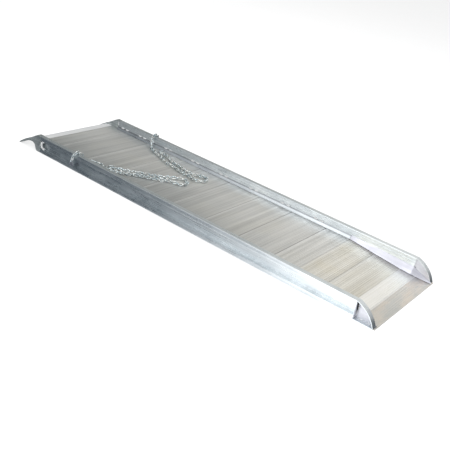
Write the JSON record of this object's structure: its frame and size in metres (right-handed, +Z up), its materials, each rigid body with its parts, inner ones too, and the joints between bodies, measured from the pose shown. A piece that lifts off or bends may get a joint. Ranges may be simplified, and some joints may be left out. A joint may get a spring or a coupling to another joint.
{
  "type": "loading ramp",
  "caption": "one-piece aluminium loading ramp: ribbed plank deck between channel curb rails, overlap lip, sloped toe, two safety chains with latch hooks",
  "frame": {"origin": "middle of the footprint, on the ground plane", "axes": "+X along the ramp towards the low approach end, +Y to the right when walking up the ramp, +Z up"},
  "size_m": [3.154, 0.9204, 0.1526],
  "materials": {
    "aluminium": "mill finish extrusion",
    "deck": "mill finish, ribbed, lightly scuffed",
    "weld": "as-welded bead",
    "zinc": "bright zinc plated",
    "latch": "zinc plated sheet and pin"
  },
  "bodies": {
    "ramp": {"approach_plank_1": "deck", "approach_plank_2": "deck", "approach_strip_left": "aluminium", "approach_strip_right": "aluminium", "approach_toe": "deck", "bottom_strip_left": "aluminium", "bottom_strip_right": "aluminium", "chain_outer_left": "zinc", "chain_outer_right": "zinc", "chain_tab_left": "aluminium", "chain_tab_right": "aluminium", "channel_end_plate_left": "aluminium", "channel_end_plate_right": "aluminium", "curb_rail_left": "aluminium", "curb_rail_right": "aluminium", "deck_plank_1": "deck", "deck_plank_2": "deck", "deck_plank_3": "deck", "deck_plank_4": "deck", "deck_plank_5": "deck", "deck_plank_6": "deck", "deck_plank_7": "deck", "deck_plank_8": "deck", "deck_plank_9": "deck", "end_arc_bar_left": "aluminium", "end_arc_bar_right": "aluminium", "end_shoe_left": "aluminium", "end_shoe_right": "aluminium", "end_weld_left": "weld", "end_weld_right": "weld", "gusset_plate_left": "aluminium", "gusset_plate_right": "aluminium", "overlap_lip": "aluminium", "side_strip_left": "aluminium", "side_strip_right": "aluminium", "stitch_welds_left": "weld", "stitch_welds_right": "weld"},
    "chain_left": {"chain_run_left": "zinc"},
    "hook_left": {"hook_left": "zinc", "latch_pin_left": "latch"},
    "latch_left": {"hook_latch_left": "latch"},
    "chain_right": {"chain_run_right": "zinc"},
    "hook_right": {"hook_right": "zinc", "latch_pin_right": "latch"},
    "latch_right": {"hook_latch_right": "latch"}
  },
  "joints": [
    {"name": "chain_lift_left", "type": "hinge", "parent": "ramp", "child": "chain_left", "pos_m": [-0.94, -0.4044, 0.1404], "axis": [1, 0, 0], "range_deg": [0, 100]},
    {"name": "hook_swing_left", "type": "hinge", "parent": "chain_left", "child": "hook_left", "pos_m": [-0.68324, -0.22151, 0.06975], "axis": [-0.3115, 0.9502, 0], "range_deg": [0, 80]},
    {"name": "latch_open_left", "type": "hinge", "parent": "hook_left", "child": "latch_left", "pos_m": [-0.72132, -0.23978, 0.06653], "axis": [-0.0729, -0.0239, 0.9971], "range_deg": [0, 26], "stiffness_Nm_per_rad": 0.02, "springref_deg": -20.05},
    {"name": "chain_lift_right", "type": "hinge", "parent": "ramp", "child": "chain_right", "pos_m": [-0.933, 0.4044, 0.1404], "axis": [-1, 0, 0], "range_deg": [0, 100]},
    {"name": "hook_swing_right", "type": "hinge", "parent": "chain_right", "child": "hook_right", "pos_m": [-0.70897, 0.3066, 0.06975], "axis": [0.2728, 0.9621, 0], "range_deg": [0, 80]},
    {"name": "latch_open_right", "type": "hinge", "parent": "hook_right", "child": "latch_right", "pos_m": [-0.75076, 0.31273, 0.06653], "axis": [-0.0738, 0.0209, 0.9971], "range_deg": [0, 26], "stiffness_Nm_per_rad": 0.02, "springref_deg": -20.05}
  ]
}
